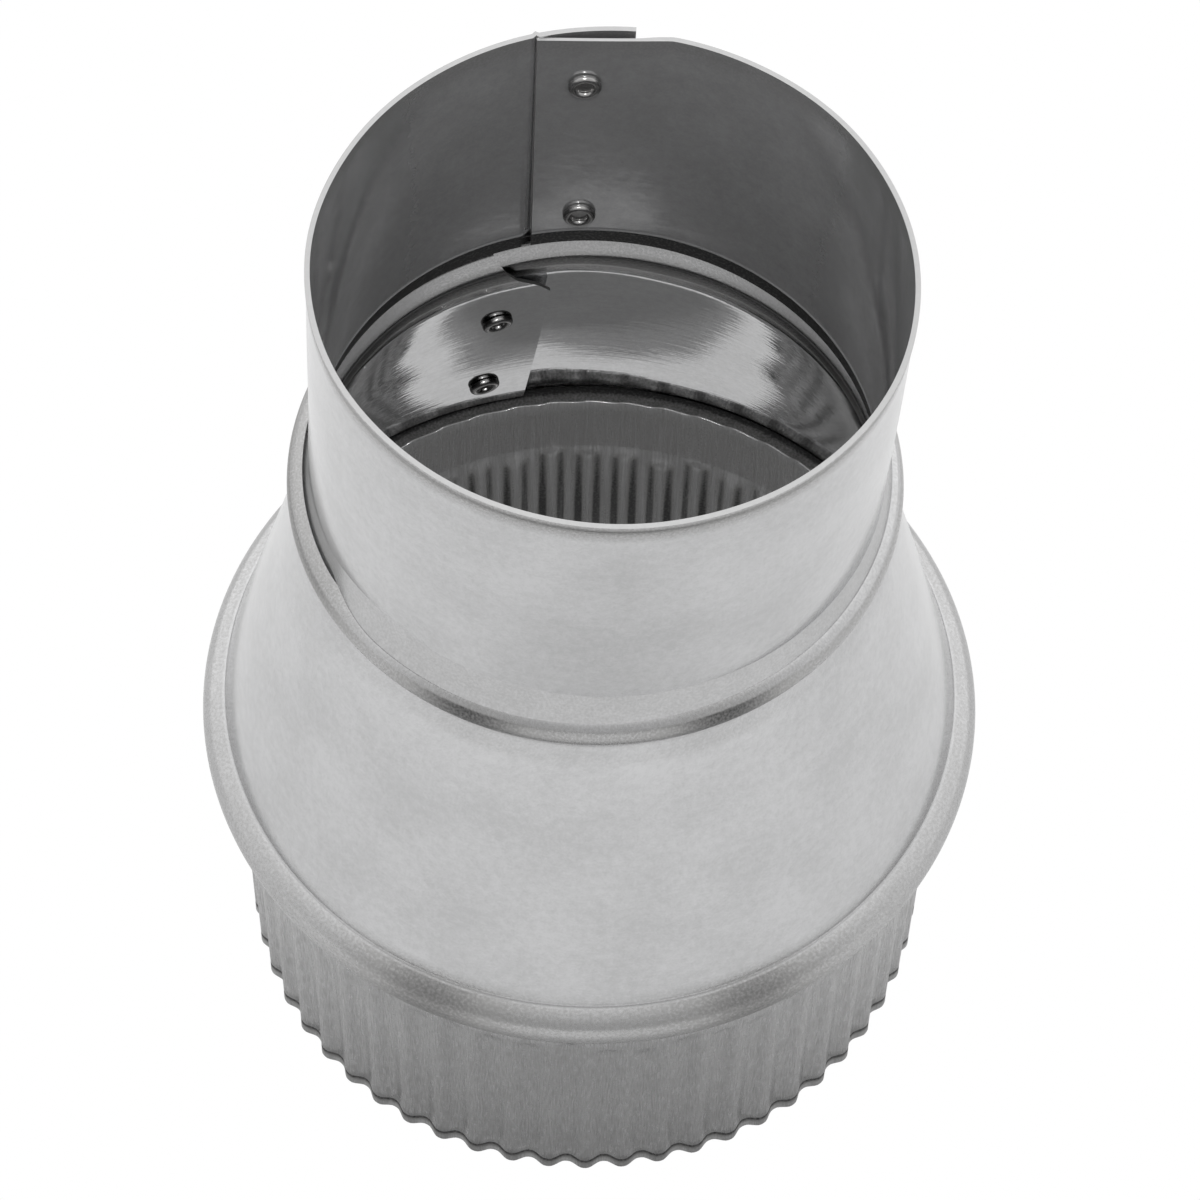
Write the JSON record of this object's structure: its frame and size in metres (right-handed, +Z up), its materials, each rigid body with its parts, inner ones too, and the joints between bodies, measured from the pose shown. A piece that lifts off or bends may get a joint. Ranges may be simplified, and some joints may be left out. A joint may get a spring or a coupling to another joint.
{
  "type": "duct reducer",
  "caption": "Round sheet-steel duct reducer with a plain small collar, a tapered body between rolled beads and a crimped large collar.",
  "frame": {"origin": "centre of the crimped rim's plane, on the axis of the large end", "axes": "+Z up the duct from the crimped end to the small collar, +Y towards the riveted seams at the back"},
  "size_m": [0.1108, 0.1108, 0.1565],
  "materials": {
    "galvanised_sheet": "galvanised, satin with a faint spangle",
    "rivet_steel": "plain satin steel"
  },
  "bodies": {
    "root": {"small_collar": "galvanised_sheet", "tapered_body": "galvanised_sheet", "crimped_collar": "galvanised_sheet", "small_collar_rivets": "rivet_steel", "tapered_body_rivets": "rivet_steel", "crimped_collar_rivet": "rivet_steel"}
  },
  "joints": []
}
